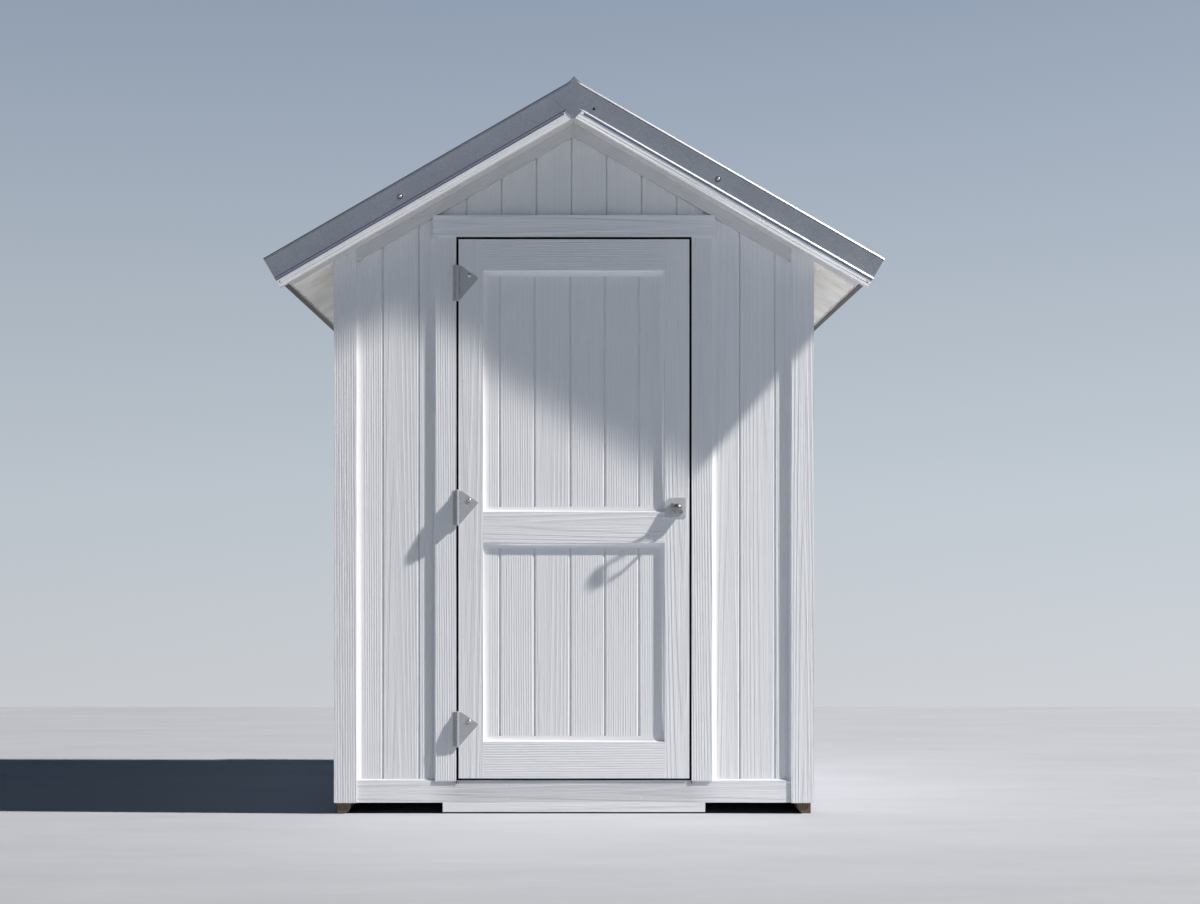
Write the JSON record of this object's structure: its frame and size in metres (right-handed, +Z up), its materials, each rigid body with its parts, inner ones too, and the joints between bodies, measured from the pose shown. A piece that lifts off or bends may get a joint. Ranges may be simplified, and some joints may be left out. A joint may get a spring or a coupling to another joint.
{
  "type": "garden shed",
  "caption": "Small gabled garden shed with white board walls, one hinged framed door with a latch, a doorstep, ground bearers and a ribbed galvanised metal roof.",
  "frame": {"origin": "on the level ground under the middle of the shed's bounding box", "axes": "+Z up, +X to the right as seen from in front of the door, -Y out through the door"},
  "size_m": [2.046, 1.378, 2.4379],
  "materials": {
    "painted_boards": "white paint over brushed softwood boards",
    "painted_trim": "white paint over planed softwood trim",
    "bare_softwood": "sawn softwood, unpainted",
    "bearer_timber": "pressure-treated timber, unpainted",
    "galvanised_steel": "hot-dip galvanised, matt with faint spangle",
    "zinc_hardware": "zinc-plated steel, satin"
  },
  "bodies": {
    "shed": {"bearers": "bearer_timber", "floor_joists": "bare_softwood", "floor_deck": "bare_softwood", "doorstep": "painted_trim", "bottom_plates": "bare_softwood", "corner_posts": "bare_softwood", "door_posts": "bare_softwood", "door_lintel": "bare_softwood", "wall_rails": "bare_softwood", "top_plates": "bare_softwood", "front_wall_left": "painted_boards", "front_wall_right": "painted_boards", "front_gable": "painted_boards", "back_wall": "painted_boards", "left_wall": "painted_boards", "right_wall": "painted_boards", "sill_boards": "painted_trim", "corner_boards_ends": "painted_trim", "corner_boards_sides": "painted_trim", "rake_trims": "painted_trim", "door_casing_left": "painted_trim", "door_casing_right": "painted_trim", "door_casing_head": "painted_trim", "hinge_frame_plates": "zinc_hardware", "ridge_board": "bare_softwood", "rafters": "bare_softwood", "verge_rafters": "painted_trim", "roof_boards_left": "bare_softwood", "roof_boards_right": "bare_softwood", "soffits": "painted_boards", "eave_fascias": "painted_trim", "barge_boards": "painted_trim", "roof_sheet_left": "galvanised_steel", "roof_sheet_right": "galvanised_steel", "ridge_cap": "galvanised_steel", "verge_flashings": "galvanised_steel", "eave_flashings": "galvanised_steel", "apex_plates": "galvanised_steel"},
    "door": {"door_boards": "painted_boards", "door_stile_left": "painted_trim", "door_stile_right": "painted_trim", "door_rails": "painted_trim", "hinge_door_plates": "zinc_hardware", "latch_plate": "zinc_hardware"},
    "latch": {"latch_handle": "zinc_hardware"}
  },
  "joints": [
    {"name": "door_swing", "type": "hinge", "parent": "shed", "child": "door", "pos_m": [-0.3885, -0.6245, 1.016], "axis": [0, 0, -1], "range_deg": [0, 150]},
    {"name": "latch_turn", "type": "hinge", "parent": "door", "child": "latch", "pos_m": [0.343, -0.62, 1.018], "axis": [0, -1, 0], "range_deg": [-51, 39]}
  ]
}
